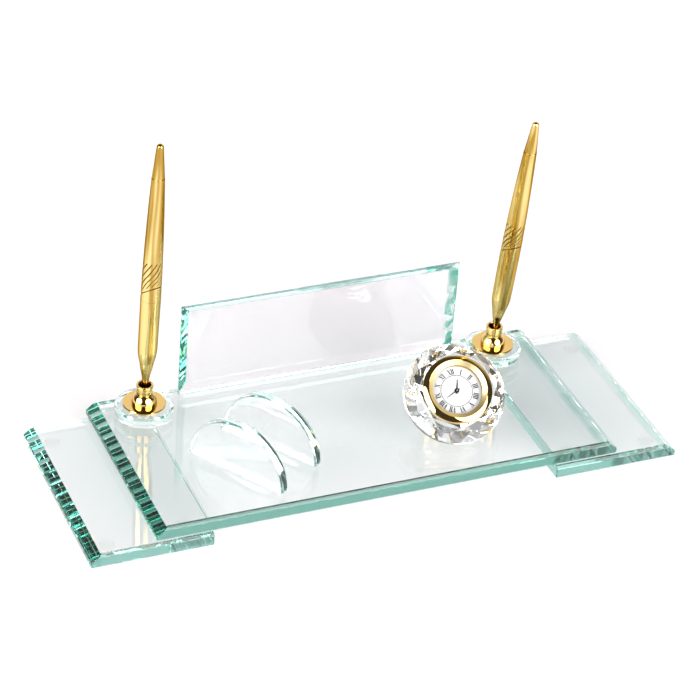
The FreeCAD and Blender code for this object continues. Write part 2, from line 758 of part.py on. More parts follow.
# Clock insert: bezel, lens and spacer in front, dial and hands, movement and case behind.
insert = len(pieces)
lens_top = table + S["lens_top"]
lens_bottom = lens_top - S["lens_thickness"]
skirt_bottom = table - S["skirt_depth"]
skirt_bore = S["lens_radius"] + S["lens_clearance"]
turned("clock_bezel", [
    (skirt_bore, skirt_bottom), (S["skirt_radius"], skirt_bottom), (S["skirt_radius"], table),
    (S["bezel_radius"], table),
    (S["bezel_crest_radius"], table + S["bezel_height"], S["bezel_curve"], 1),
    (S["bezel_opening"], table + S["bezel_inner_height"]), (S["bezel_opening"], lens_top),
    (skirt_bore, lens_top)])
turned("clock_lens", [
    (ZERO, lens_bottom), (S["lens_radius"], lens_bottom), (S["lens_radius"], lens_top),
    (ZERO, lens_top)])
dial_top = table - S["dial_top"]
dial_bottom = dial_top - S["dial_thickness"]
turned("clock_spacer", [
    (S["bezel_opening"], dial_top), (S["lens_radius"], dial_top), (S["lens_radius"], lens_bottom),
    (S["bezel_opening"], lens_bottom)])
turned("clock_dial", [
    (S["dial_hole"], dial_bottom), (S["dial_radius"], dial_bottom), (S["dial_radius"], dial_top),
    (S["dial_hole"], dial_top)])
ledge_bottom = dial_bottom - S["case_ledge_thickness"]
case_bottom = table - S["case_depth"]
turned("movement_case", [
    (S["case_bore"], case_bottom), (S["skirt_radius"], case_bottom),
    (S["skirt_radius"], skirt_bottom), (skirt_bore, skirt_bottom), (skirt_bore, dial_bottom),
    (S["case_ledge_bore"], dial_bottom), (S["case_ledge_bore"], ledge_bottom),
    (S["case_bore"], ledge_bottom)])
turned("grip_ring", [
    (S["skirt_radius"], table - S["grip_bottom"]), (S["grip_radius"], table - S["grip_bottom"]),
    (S["grip_radius"], table - S["grip_top"]), (S["skirt_radius"], table - S["grip_top"])])

# The movement and its back are drawn from their own foot.
back_inside = case_bottom + S["back_thickness"]
shaft_hole = S["knob_shaft_radius"] + S["slide_clearance"]
arbor_hole = S["arbor_radius"] + S["slide_clearance"]
pipe_hole = S["pipe_radius"] + S["slide_clearance"]
arbor_end = table - S["arbor_bottom"] - S["arbor_end_gap"] - back_inside
pipe_end = table - S["pipe_bottom"] - S["pipe_end_gap"] - back_inside
movement_top = dial_bottom - back_inside
movement = turned("movement_block", [
    (ZERO, ZERO), (S["movement_radius"], ZERO), (S["movement_radius"], movement_top),
    (pipe_hole, movement_top), (pipe_hole, pipe_end), (arbor_hole, pipe_end),
    (arbor_hole, arbor_end), (ZERO, arbor_end)])
drill(movement, [(-S["cell_offset"], ZERO, S["cell_radius"] + S["cell_clearance"])],
      S["cell_thickness"])
drill(movement, [(S["knob_offset"], ZERO, shaft_hole)])
case_back = turned("case_back", [
    (ZERO, ZERO), (S["case_bore"] - S["back_clearance"], ZERO),
    (S["case_bore"] - S["back_clearance"], S["back_thickness"]), (ZERO, S["back_thickness"])])
drill(case_back, [(-S["cell_offset"], ZERO, S["hatch_radius"] + S["back_clearance"]),
                  (S["knob_offset"], ZERO, shaft_hole)])
cell = turned("button_cell", [
    (ZERO, ZERO), (S["cell_radius"], ZERO), (S["cell_radius"], S["cell_thickness"]),
    (ZERO, S["cell_thickness"])])
hatch = turned("battery_hatch", [
    (ZERO, ZERO), (S["hatch_radius"], ZERO), (S["hatch_radius"], S["back_thickness"]),
    (ZERO, S["back_thickness"])])
knob_foot = S["knob_gap"] + S["knob_height"]
shaft_top = knob_foot + S["case_depth"] - S["knob_shaft_top"]
knob = turned("setting_knob", [
    (ZERO, ZERO), (S["knob_radius"], ZERO), (S["knob_radius"], S["knob_height"]),
    (S["knob_shaft_radius"], S["knob_height"]), (S["knob_shaft_radius"], shaft_top),
    (ZERO, shaft_top)])

# Hands on their arbor and pipe.
turned("minute_arbor", [
    (ZERO, table - S["arbor_bottom"]), (S["arbor_radius"], table - S["arbor_bottom"]),
    (S["arbor_radius"], table - S["arbor_top"]), (ZERO, table - S["arbor_top"])])
turned("hour_pipe", [
    (arbor_hole, table - S["pipe_bottom"]), (S["pipe_radius"], table - S["pipe_bottom"]),
    (S["pipe_radius"], table - S["pipe_top"]), (arbor_hole, table - S["pipe_top"])])


def hand(label, boss, half_width, length, hole):
    """A flat hand pointing along +Y, with a round boss, a short tail and a hole on its axis."""
    neck = leg(boss, half_width)
    tip = S["hand_tip_half_width"]
    body = slab(label, "XY_Plane", [
        (half_width, -S["hand_tail"]), (half_width, -neck), (boss, ZERO, boss, 1),
        (half_width, neck, boss, 1), (tip, length), (-tip, length), (-half_width, neck),
        (-boss, ZERO, boss, 1), (-half_width, -neck, boss, 1), (-half_width, -S["hand_tail"])],
        S["hand_thickness"])
    drill(body, [(ZERO, ZERO, hole)])
    return body


hour_hand = hand("hour_hand", S["hour_hand_boss"], S["hour_hand_half_width"],
                 S["hour_hand_length"], S["pipe_radius"])
minute_hand = hand("minute_hand", S["minute_hand_boss"], S["minute_hand_half_width"],
                   S["minute_hand_length"], S["arbor_radius"])
for piece in pieces[insert:]:
    place(piece, clock_frame, turn=DIAL_TURN)
half_hand = S["hand_thickness"] / 2
place(hour_hand, clock_frame, z=table - S["hour_hand_bottom"] + half_hand,
      turn=DIAL_TURN + HOUR_HAND_TURN)
place(minute_hand, clock_frame, z=table - S["minute_hand_bottom"] + half_hand,
      turn=DIAL_TURN + MINUTE_HAND_TURN)
place(movement, clock_frame, z=back_inside)
place(case_back, clock_frame, z=case_bottom)
place(hatch, clock_frame, x=-S["cell_offset"], z=case_bottom)
place(cell, clock_frame, x=-S["cell_offset"], z=back_inside)
place(knob, clock_frame, x=S["knob_offset"], z=case_bottom - knob_foot)

doc.recompute()
for item in doc.Objects:
    if "Invalid" in item.State or "Error" in item.State:
        raise RuntimeError("broken object: " + item.Label)
os.makedirs("parts", exist_ok=True)
for piece in pieces:
    if piece.Shape.isNull() or not piece.Shape.isValid():
        raise RuntimeError("broken shape: " + piece.Label)
    piece.Shape.exportStep("parts/%s.step" % piece.Label)
    print(piece.Label, len(piece.Shape.Solids), round(piece.Shape.Volume, 2))
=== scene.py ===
# %% [markdown]
# # Jade-glass desk set
# This lesson dresses a finished construction model of a desk set: stacked glass plates, an
# upright plate, a card stand of two half discs, two gold pens in ball sockets and a small clock
# set in a diamond-cut crystal. The construction pieces keep their places and only get finishes.
# New meshes are made where a finer surface is needed than the construction model carries.

# %% Load the construction model
import json
import math
import bpy
from mathutils import Matrix, Vector

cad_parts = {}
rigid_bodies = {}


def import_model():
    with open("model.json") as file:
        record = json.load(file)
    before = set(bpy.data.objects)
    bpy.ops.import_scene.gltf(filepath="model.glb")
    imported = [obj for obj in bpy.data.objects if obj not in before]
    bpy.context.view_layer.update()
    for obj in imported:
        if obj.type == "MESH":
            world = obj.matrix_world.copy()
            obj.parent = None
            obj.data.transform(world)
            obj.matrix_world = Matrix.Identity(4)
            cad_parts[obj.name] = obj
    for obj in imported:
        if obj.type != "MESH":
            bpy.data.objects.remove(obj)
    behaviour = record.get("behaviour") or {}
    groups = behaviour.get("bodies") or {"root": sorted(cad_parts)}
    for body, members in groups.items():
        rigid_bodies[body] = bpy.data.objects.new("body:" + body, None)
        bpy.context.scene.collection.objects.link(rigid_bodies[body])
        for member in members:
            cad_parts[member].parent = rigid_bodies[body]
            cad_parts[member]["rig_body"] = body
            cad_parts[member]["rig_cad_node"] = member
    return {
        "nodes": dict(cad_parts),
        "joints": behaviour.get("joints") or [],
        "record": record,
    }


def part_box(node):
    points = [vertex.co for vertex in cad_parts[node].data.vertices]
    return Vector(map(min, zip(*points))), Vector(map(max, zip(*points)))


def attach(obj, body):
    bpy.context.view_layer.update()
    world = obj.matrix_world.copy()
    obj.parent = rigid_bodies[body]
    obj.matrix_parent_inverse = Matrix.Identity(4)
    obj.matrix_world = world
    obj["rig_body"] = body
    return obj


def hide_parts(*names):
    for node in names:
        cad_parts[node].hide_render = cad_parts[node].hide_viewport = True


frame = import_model()
nodes = frame["nodes"]
joint_of = {joint["name"]: joint for joint in frame["joints"]}
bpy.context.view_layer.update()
MM = 0.001

# %% [markdown]
# Every operator in Blender works on what is selected, and the loaded model comes in selected.
# So each step starts from an empty selection. A small helper does that and another one makes a
# single object the active one.

# %% Selection helpers
def clear_selection():
    if bpy.context.object and bpy.context.object.mode != "OBJECT":
        bpy.ops.object.mode_set(mode="OBJECT")
    bpy.ops.object.select_all(action="DESELECT")


def pick(piece):
    clear_selection()
    piece.select_set(True)
    bpy.context.view_layer.objects.active = piece
    return piece


clear_selection()
print("selected:", len(bpy.context.selected_objects))

# %% [markdown]
# The camera stands in front of the set, a little to its left, and looks down on it. The numbers
# come from fitting a camera to the corners of the plates: a long lens far away, turned 25 degrees
# to the right, tipped 34 degrees down and rolled by a few degrees.

# %% Camera
CAMERA_PLACE = (-0.5602, -1.1838, 0.9397)
CAMERA_TURN, CAMERA_TIP, CAMERA_ROLL = -25.09, 33.67, 4.79
LENS, SENSOR, FAR_END = 143.4, 36.0, 20.0


def turned(axis, degrees):
    return Matrix.Rotation(math.radians(degrees), 4, axis)


def set_camera():
    bpy.ops.object.camera_add()
    camera = bpy.context.object
    camera.name = "product_camera"
    camera.matrix_world = (Matrix.Translation(CAMERA_PLACE) @ turned("Z", CAMERA_TURN)
                           @ turned("X", 90 - CAMERA_TIP) @ turned("Z", CAMERA_ROLL))
    camera.data.lens = LENS
    camera.data.sensor_width = SENSOR
    camera.data.clip_end = FAR_END
    bpy.context.scene.camera = camera
    return camera


clear_selection()
print("camera:", set_camera().name)

# %% [markdown]
# The set stands on a white sweep. Glass and gold show what is around them, so the room matters as
# much as the lamps. Two large round softboxes stand in front, left and right. A sun lamp with a
# wide angle is such a softbox: it is round in reflections and lights the floor evenly.

# %% Floor and light
FLOOR_SIZE, FLOOR_COLOUR, FLOOR_ROUGHNESS = 8.0, (0.94, 0.90, 0.908, 1), 0.6
SOFTBOX_AZIMUTHS = {"softbox_left": -163, "softbox_right": -67}
SOFTBOX_ELEVATION, SOFTBOX_STRENGTH, SOFTBOX_WIDTH = 24, 4.0, 52


def new_material(name):
    material = bpy.data.materials.new(name)
    material.use_nodes = True
    tree = material.node_tree
    return material, tree, tree.nodes["Principled BSDF"]


def white_sweep():
    bpy.ops.mesh.primitive_plane_add(size=FLOOR_SIZE, location=(0, 0, 0))
    plane = bpy.context.object
    plane.name = "white_sweep"
    material, tree, shader = new_material("white sweep")
    shader.inputs["Base Color"].default_value = FLOOR_COLOUR
    shader.inputs["Roughness"].default_value = FLOOR_ROUGHNESS
    plane.data.materials.append(material)
    return plane


def softbox(name, azimuth):
    bpy.ops.object.light_add(type="SUN")
    lamp = bpy.context.object
    lamp.name = name
    a = math.radians(azimuth)
    e = math.radians(SOFTBOX_ELEVATION)
    towards = Vector((math.cos(a) * math.cos(e), math.sin(a) * math.cos(e), math.sin(e)))
    lamp.rotation_mode = "QUATERNION"
    lamp.rotation_quaternion = towards.to_track_quat("Z", "Y")
    lamp.data.energy = SOFTBOX_STRENGTH
    lamp.data.angle = math.radians(SOFTBOX_WIDTH)
    return lamp


clear_selection()
floor = white_sweep()
print("lamps:", [softbox(name, azimuth).name for name, azimuth in SOFTBOX_AZIMUTHS.items()])

# %% [markdown]
# The world and all finishes are made of nodes. A few helpers keep that short: one puts a value or
# a link into a socket, and the others add a calculation, a mix of two colours or a range that is
# mapped to another one.

# %% Node helpers
def feed(tree, source, socket):
    if isinstance(source, bpy.types.NodeSocket):
        tree.links.new(source, socket)
    else:
        socket.default_value = source


def calculate(tree, operation, *sources):
    node = tree.nodes.new("ShaderNodeMath")
    node.operation = operation
    for source, socket in zip(sources, node.inputs):
        feed(tree, source, socket)
    return node.outputs["Value"]


def blend(tree, factor, first, second):
    node = tree.nodes.new("ShaderNodeMix")
    node.data_type = "RGBA"
    for label, source in (("Factor", factor), ("A", first), ("B", second)):
        feed(tree, source, node.inputs[label])
    return node.outputs["Result"]


def remap(tree, source, low, high, start=0.0, end=1.0, easing="SMOOTHSTEP"):
    node = tree.nodes.new("ShaderNodeMapRange")
    node.interpolation_type = easing
    for label, value in (("Value", source), ("From Min", low), ("From Max", high),
                         ("To Min", start), ("To Max", end)):
        feed(tree, value, node.inputs[label])
    return node.outputs["Result"]


print("node helpers: feed, calculate, blend and remap")

# %% [markdown]
# White paper rises behind the set, and the room in front and overhead is dark. That dark room is
# what draws the black streaks on the gold. The paper is painted into the world by direction, so
# no wall stands in the way of a view from the back.

# %% White paper behind, dark room in front
BACK = (0.424, 0.906, 0.0)
PAPER, DARK_ROOM = (1.05, 1.05, 1.05, 1), (0.06, 0.06, 0.06, 1)
PAPER_SIDES = (0.2, 0.8)
PAPER_TOP = (0.6, 0.9)


def studio_world():
    world = bpy.data.worlds.new("studio")
    world.use_nodes = True
    tree = world.node_tree
    direction = tree.nodes.new("ShaderNodeTexCoord").outputs["Generated"]
    behind = tree.nodes.new("ShaderNodeVectorMath")
    behind.operation = "DOT_PRODUCT"
    behind.inputs[1].default_value = BACK
    tree.links.new(direction, behind.inputs[0])
    height = tree.nodes.new("ShaderNodeSeparateXYZ")
    tree.links.new(direction, height.inputs[0])
    paper = calculate(tree, "MULTIPLY", remap(tree, behind.outputs["Value"], *PAPER_SIDES),
                      remap(tree, height.outputs["Z"], *PAPER_TOP, 1.0, 0.0))
    feed(tree, blend(tree, paper, DARK_ROOM, PAPER), tree.nodes["Background"].inputs["Color"])
    return world


bpy.context.scene.world = studio_world()
print("world:", bpy.context.scene.world.name)

# %% [markdown]
# Light crosses many glass faces on its way, so the number of bounces is raised. The plain view
# transform keeps white paper white.

# %% Light bounces and view
render_scene = bpy.context.scene
render_scene.view_settings.view_transform = "Standard"
render_scene.view_settings.look = "None"
render_scene.cycles.max_bounces = 128
render_scene.cycles.transmission_bounces = 96
render_scene.cycles.glossy_bounces = 96
render_scene.cycles.transparent_max_bounces = 48
render_scene.cycles.caustics_refractive = False
render_scene.cycles.caustics_reflective = False
print("bounces:", render_scene.cycles.max_bounces)

# %% [markdown]
# An effect that several finishes share is a node group with named sockets. It is built once and
# each material sets its own values. The groups read Object coordinates, so a pattern stays on its
# piece when the piece moves, and most of them start from noise.

# %% Group helpers
NUMBER, COLOUR, VECTOR = "NodeSocketFloat", "NodeSocketColor", "NodeSocketVector"
WHITE, BLACK = (1, 1, 1, 1), (0, 0, 0, 1)


def new_group(name, inputs, outputs):
    group = bpy.data.node_groups.new(name, "ShaderNodeTree")
    for label, kind, value in inputs:
        socket = group.interface.new_socket(label, in_out="INPUT", socket_type=kind)
        socket.default_value = value
    for label, kind in outputs:
        group.interface.new_socket(label, in_out="OUTPUT", socket_type=kind)
    given = group.nodes.new("NodeGroupInput").outputs
    return group, given, group.nodes.new("NodeGroupOutput").inputs


def noise_value(group, vector, scale, detail):
    noise = group.nodes.new("ShaderNodeTexNoise")
    for label, source in (("Vector", vector), ("Scale", scale), ("Detail", detail)):
        feed(group, source, noise.inputs[label])
    return noise.outputs["Fac"]


def object_place(tree):
    return tree.nodes.new("ShaderNodeTexCoord").outputs["Object"]


print("group helpers: new_group, noise_value and object_place")

# %% [markdown]
# Real glass and metal are never perfectly even. The first group gives glass a trace of haze, as
# wiping leaves it. The second gives metal the faint cloudiness of hand polishing, in colour and
# in roughness. Noise rarely reaches 0 or 1, so its middle part is stretched.

# %% Haze and polish groups
CLOUD_RANGE = (0.3, 0.7)


def wiped_haze():
    group, given, result = new_group(
        "wiped haze", [("Scale", NUMBER, 40.0), ("Clear", NUMBER, 0.0), ("Hazy", NUMBER, 0.02)],
        [("Roughness", NUMBER)])
    cloud = noise_value(group, object_place(group), given["Scale"], detail=2.0)
    feed(group, remap(group, cloud, *CLOUD_RANGE, given["Clear"], given["Hazy"], "LINEAR"),
         result["Roughness"])
    return group


def hand_polish():
    group, given, result = new_group(
        "hand polish",
        [("Scale", NUMBER, 180.0), ("Bright", COLOUR, WHITE), ("Deep", COLOUR, BLACK),
         ("Smooth", NUMBER, 0.05), ("Worn", NUMBER, 0.12)],
        [("Color", COLOUR), ("Roughness", NUMBER)])
    cloud = noise_value(group, object_place(group), given["Scale"], detail=3.0)
    feed(group, blend(group, cloud, given["Bright"], given["Deep"]), result["Color"])
    feed(group, remap(group, cloud, *CLOUD_RANGE, given["Smooth"], given["Worn"], "LINEAR"),
         result["Roughness"])
    return group


haze, polish = wiped_haze(), hand_polish()
print("groups:", haze.name, polish.name)

# %% [markdown]
# The light and dark streaks along a pen barrel are painted reflections: they stand in for the
# bright bands and dark lines that the room draws along a gold cylinder. Noise that is squeezed in
# one direction turns into such streaks: its coordinates are scaled down along Z, and each pen
# hands in coordinates whose Z runs along its own axis.

# %% Painted reflection streak group
STREAK_SQUEEZE = (1.0, 1.0, 0.035)
STREAK_RANGE = (0.36, 0.6)


def paint_reflection_streaks():
    group, given, result = new_group(
        "painted reflection streaks",
        [("Vector", VECTOR, (0, 0, 0)), ("Bright", COLOUR, WHITE), ("Deep", COLOUR, BLACK),
         ("Scale", NUMBER, 260.0)],
        [("Color", COLOUR)])
    squeezed = group.nodes.new("ShaderNodeMapping")
    squeezed.inputs["Scale"].default_value = STREAK_SQUEEZE
    feed(group, given["Vector"], squeezed.inputs["Vector"])
    grain = noise_value(group, squeezed.outputs["Vector"], given["Scale"], detail=1.0)
    level = remap(group, grain, *STREAK_RANGE)
    feed(group, blend(group, level, given["Deep"], given["Bright"]), result["Color"])
    return group


streaks = paint_reflection_streaks()
print("group:", streaks.name)

# %% [markdown]
# At the ends of a thick plate the light is thrown to and fro between the bevels, and the glass
# shows a band of broken mint and green chips. This group paints that light as a painted
# reflection: Voronoi cells give the chips, and masks say where they lie. The band on the right
# begins where X passes Start. Left flips and scales X, so that the same test finds the band on the
# left. In front of Front lies the front wall, which gets one deeper painted green that stands in
# for the light seen along the glass. Masks are used because a glass mesh must carry one volume
# only: two glass materials on one mesh would leave the light inside both of them.

# %% Painted trapped light group
CHIP_TURN = (0.5, 0.6, 0.0)
CHIP_RANGE = (0.35, 0.75)


def paint_trapped_light():
    group, given, result = new_group(
        "painted trapped light",
        [("Tint", COLOUR, WHITE), ("Pale", COLOUR, WHITE), ("Green", COLOUR, (0, 1, 0, 1)),
         ("Scale", NUMBER, 90.0), ("Start", NUMBER, 0.1), ("Left", NUMBER, -1.0),
         ("Painted Wall", COLOUR, WHITE), ("Front", NUMBER, -1.0)],
        [("Color", COLOUR)])
    place = object_place(group)
    slanted_place = group.nodes.new("ShaderNodeMapping")
    slanted_place.inputs["Rotation"].default_value = CHIP_TURN
    cells = group.nodes.new("ShaderNodeTexVoronoi")
    chip = group.nodes.new("ShaderNodeSeparateColor")
    side = group.nodes.new("ShaderNodeSeparateXYZ")
    feed(group, place, slanted_place.inputs["Vector"])
    feed(group, slanted_place.outputs["Vector"], cells.inputs["Vector"])
    feed(group, given["Scale"], cells.inputs["Scale"])
    feed(group, cells.outputs["Color"], chip.inputs["Color"])
    feed(group, place, side.inputs["Vector"])
    x, y = side.outputs["X"], side.outputs["Y"]
    painted_chips = blend(group, remap(group, chip.outputs["Red"], *CHIP_RANGE), given["Pale"],
                  given["Green"])
    reach = calculate(group, "MAXIMUM", x, calculate(group, "MULTIPLY", x, given["Left"]))
    at_painted_end = calculate(group, "GREATER_THAN", reach, given["Start"])
    at_painted_wall = calculate(group, "LESS_THAN", y, given["Front"])
    ends = blend(group, at_painted_end, given["Tint"], painted_chips)
    feed(group, blend(group, at_painted_wall, ends, given["Painted Wall"]), result["Color"])
    return group


painted_end_light = paint_trapped_light()
print("group:", painted_end_light.name)

# %% [markdown]
# Jade glass is plain float glass. Its green comes from traces of iron and only shows over a long
# way through the glass, so a plate is nearly colourless from above and deep green at its edges.
# Volume Absorption gives just that. The shadow of clear glass is light, so shadow rays and rays
# from the floor see the glass as almost transparent; without that the floor under the plates
# would turn dark.

# %% Glass finishes
SHADOW_LIFT = 0.96
CLEAR_TINT, JADE_TINT = (1, 1, 1), (1, 0.95, 0.962)
JADE = {"ior": 1.52, "hazy": 0.01, "absorb": (0.265, 0.70, 0.625), "density": 12.5}


def use_group(tree, group, settings):
    node = tree.nodes.new("ShaderNodeGroup")
    node.node_tree = group
    for label, value in settings.items():
        feed(tree, value, node.inputs[label])
    return node.outputs


def glass(name, tint, ior, hazy, absorb=None, density=0.0):
    material, tree, shader = new_material(name)
    shader.inputs["Base Color"].default_value = (*tint, 1)
    shader.inputs["Metallic"].default_value = 0.0
    shader.inputs["Transmission Weight"].default_value = 1.0
    shader.inputs["IOR"].default_value = ior
    wiped = use_group(tree, haze, {"Hazy": hazy})
    feed(tree, wiped["Roughness"], shader.inputs["Roughness"])
    ray = tree.nodes.new("ShaderNodeLightPath")
    either = calculate(tree, "MAXIMUM", ray.outputs["Is Shadow Ray"], ray.outputs["Is Diffuse Ray"])
    feed(tree, calculate(tree, "MULTIPLY_ADD", either, -SHADOW_LIFT, 1.0), shader.inputs["Alpha"])
    if absorb:
        body = tree.nodes.new("ShaderNodeVolumeAbsorption")
        body.inputs["Color"].default_value = (*absorb, 1)
        body.inputs["Density"].default_value = density
        feed(tree, body.outputs["Volume"], tree.nodes["Material Output"].inputs["Volume"])
    return material


finish_of = {
    "jade_glass": glass("jade glass", JADE_TINT, **JADE),
    "clear_glass": glass("clear disc glass", CLEAR_TINT, 1.5, 0.01, (0.2, 0.75, 0.65), 6.0),
    "crystal": glass("cut crystal", CLEAR_TINT, 1.56, 0.005),
    "lens_glass": glass("clock lens", CLEAR_TINT, 1.45, 0.01),
    "clear_bumper": glass("clear bumper", CLEAR_TINT, 1.05, 0.01),
}
print("glass finishes:", list(finish_of))

# %% [markdown]
# The plates share the jade glass, and each gets the band of painted reflection chips where its
# own ends are. The two lower plates share one finish. The upright's glass is tinted a little
# darker as painted shade, standing in for the shaded floor seen through it, and it shows its band
# on the right edge only, so its factor for the left is zero.

# %% Plate glass
# Painted reflections: the pale and green chip colours paint the light trapped at the plate ends,
# and the front wall colour is a painted deeper green for the light seen along the glass.
PLATE_PAINTED_CHIPS = {"Pale": (0.80, 0.92, 0.90, 1), "Green": (0.60, 0.82, 0.77, 1), "Scale": 60.0}
UPRIGHT_PAINTED_CHIPS = {"Pale": (0.95, 1, 0.99, 1), "Green": (0.10, 0.42, 0.32, 1), "Scale": 140.0}
# Painted shade: the upright's darker tint stands in for the shaded floor seen through it.
UPRIGHT_PAINTED_SHADE, PAINTED_WALL_GREEN = (0.89, 0.86, 0.885), (0.45, 0.62, 0.58, 1)
UPPER_LEFT_BAND, UPPER_RIGHT_BAND, UPPER_FRONT_BAND = 5.8, 10.0, 1.6
LOWER_LEFT_BAND, LOWER_RIGHT_BAND, UPRIGHT_BAND = 5.76, 8.0, 5.4


def box_of(name):
    low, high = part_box(name)
    return Vector(low), Vector(high)


def right_start(plate, band):
    return box_of(plate)[1].x - band * MM


def both_ends(left_plate, left_band, right_plate, right_band):
    start = right_start(right_plate, right_band)
    return {"Start": start, "Left": start / (box_of(left_plate)[0].x + left_band * MM)}


def plate_finish(name, tint, painted_chips, ends):
    material = glass(name, tint, **JADE)
    tree = material.node_tree
    trapped = use_group(tree, painted_end_light, {"Tint": (*tint, 1), **painted_chips, **ends})
    feed(tree, trapped["Color"], tree.nodes["Principled BSDF"].inputs["Base Color"])
    return material


upper_ends = both_ends("upper_plate", UPPER_LEFT_BAND, "upper_plate", UPPER_RIGHT_BAND)
upper_ends["Painted Wall"] = PAINTED_WALL_GREEN
upper_ends["Front"] = box_of("upper_plate")[0].y + UPPER_FRONT_BAND * MM
lower_ends = both_ends("lower_plate_left", LOWER_LEFT_BAND, "lower_plate_right", LOWER_RIGHT_BAND)
upright_ends = {"Start": right_start("upright_plate", UPRIGHT_BAND), "Left": 0.0}
plate_glass = {
    "upper_plate": plate_finish("upper jade glass", JADE_TINT, PLATE_PAINTED_CHIPS, upper_ends),
    "lower_plate_right": plate_finish("lower jade glass", JADE_TINT, PLATE_PAINTED_CHIPS, lower_ends),
    "upright_plate": plate_finish("upright jade glass", UPRIGHT_PAINTED_SHADE, UPRIGHT_PAINTED_CHIPS, upright_ends),
}
plate_glass["lower_plate_left"] = plate_glass["lower_plate_right"]
print("plate glass:", [material.name for material in plate_glass.values()])

# %% [markdown]
# Gold plate is a mirror with a warm colour, and plastic and lacquer are dull. One function makes
# them all from two shades for the cloudiness and two values for how smooth and how worn the
# surface is. The tables give the shades for every kind of part in the set.

# %% Metal, plastic and lacquer finishes
METALS = {
    "gold_socket": ("socket gold", (0.86, 0.58, 0.21), (0.78, 0.51, 0.17), 0.03, 0.07),
    "engraving": ("engraved gold", (0.22, 0.13, 0.02), (0.14, 0.08, 0.01), 0.3, 0.45),
    "gold_rings": ("ring gold", (0.62, 0.44, 0.14), (0.52, 0.35, 0.10), 0.15, 0.25),
    "gold_bezel": ("bezel gold", (0.88, 0.60, 0.22), (0.80, 0.53, 0.18), 0.03, 0.07),
    "gold_satin": ("satin gold", (0.98, 0.80, 0.42), (0.90, 0.70, 0.33), 0.34, 0.42),
    "gold_case": ("case gold", (0.85, 0.62, 0.28), (0.78, 0.55, 0.23), 0.25, 0.35),
    "plain_brass": ("turned brass", (0.75, 0.56, 0.26), (0.66, 0.48, 0.20), 0.2, 0.32),
    "steel": ("turned steel", (0.66, 0.66, 0.67), (0.56, 0.56, 0.57), 0.2, 0.32),
}
PLASTICS = {
    "black_nylon": ("black nylon", (0.03, 0.028, 0.026), (0.016, 0.015, 0.014), 0.4, 0.55),
    "movement_plastic": ("movement plastic", (0.8, 0.79, 0.75), (0.72, 0.71, 0.66), 0.4, 0.5),
    "grip_plastic": ("grip plastic", (0.86, 0.85, 0.82), (0.78, 0.77, 0.73), 0.35, 0.5),
    "refill_plastic": ("refill plastic", (0.8, 0.82, 0.84), (0.7, 0.72, 0.75), 0.25, 0.35),
    "white_dial": ("white dial lacquer", (0.86, 0.85, 0.85), (0.82, 0.81, 0.81), 0.4, 0.5),
    "black_hand": ("black lacquer", (0.012, 0.012, 0.013), (0.006, 0.006, 0.006), 0.2, 0.3),
}


def finish(name, bright, deep, smooth, worn, metallic):
    material, tree, shader = new_material(name)
    shader.inputs["Metallic"].default_value = metallic
    surface = use_group(tree, polish, {"Bright": (*bright, 1), "Deep": (*deep, 1),
                                       "Smooth": smooth, "Worn": worn})
    for label, target in (("Color", "Base Color"), ("Roughness", "Roughness")):
        feed(tree, surface[label], shader.inputs[target])
    return material


for table, metallic in ((METALS, 1.0), (PLASTICS, 0.0)):
    for slot, settings in table.items():
        finish_of[slot] = finish(*settings, metallic)
print("finishes:", len(finish_of))

# %% [markdown]
# The pens are paler than the sockets and carry painted reflection streaks along their length.
# Each pen leans its own way, so each has its own copy of the gold: a Mapping node turns the
# coordinates until Z runs along that pen. The construction model knows the way, since a pen lifts
# out along its own axis.

# %% Pen gold
UP = Vector((0, 0, 1))
SIDES = ("left", "right")
PEN_BRIGHT, PEN_PAINTED_DARK, PEN_RIM = (0.95, 0.74, 0.30), (0.46, 0.28, 0.05), (0.35, 0.22, 0.03)
PEN_SMOOTH, PEN_WORN = 0.05, 0.10


def joint_axis(name):
    return Vector(joint_of[name]["axis"]).normalized()


def pen_gold(side):
    axis = joint_axis("pen_" + side + "_lift")
    material = finish("pen gold " + side, PEN_BRIGHT, PEN_PAINTED_DARK, PEN_SMOOTH, PEN_WORN, 1.0)
    tree = material.node_tree
    shader = tree.nodes["Principled BSDF"]
    shader.inputs["Specular Tint"].default_value = (*PEN_RIM, 1)
    along = tree.nodes.new("ShaderNodeMapping")
    along.inputs["Rotation"].default_value = axis.rotation_difference(UP).to_euler()
    feed(tree, object_place(tree), along.inputs["Vector"])
    # Painted reflections: the base colour becomes light and dark streaks along the pen.
    drawn = use_group(tree, streaks, {"Vector": along.outputs["Vector"],
                                      "Bright": (*PEN_BRIGHT, 1), "Deep": (*PEN_PAINTED_DARK, 1)})
    feed(tree, drawn["Color"], shader.inputs["Base Color"])
    return material


pen_finish = {side: pen_gold(side) for side in SIDES}
print("pen finishes:", [material.name for material in pen_finish.values()])

# %% [markdown]
# Now every construction node gets its finish. The record of the construction names a slot for
# each node, and the slot names the finish. Only the pens look at the side as well.

# %% Dress the construction nodes
slot_of = {part["node"]: part["material_slot"] for part in frame["record"]["subparts"]}
for name, node in nodes.items():
    node.data.materials.clear()
    if slot_of[name] == "gold_pen":
        node.data.materials.append(pen_finish[name.split("_")[1]])
    else:
        node.data.materials.append(finish_of[slot_of[name]])
print("finished nodes:", len(slot_of))

# %% [markdown]
# Ground glass has no knife edges: every edge gets a fine polished arris, and that thin facet is
# what catches the light as a bright line. The construction model has sharp edges, so each glass
# piece is copied, its loose triangles are merged and dissolved into clean faces, and its sharp
# edges are bevelled a little. The copy then stands for the construction node.

# %% Polished copies
WELD = 0.000002
ONE_FACE = math.radians(0.6)
SHARP_FACETS, SHARP_CURVES = math.radians(6), math.radians(15)
LEAF_SMOOTH = 12
CRYSTAL_ARRIS, LEAF_ARRIS = 0.12, 0.2


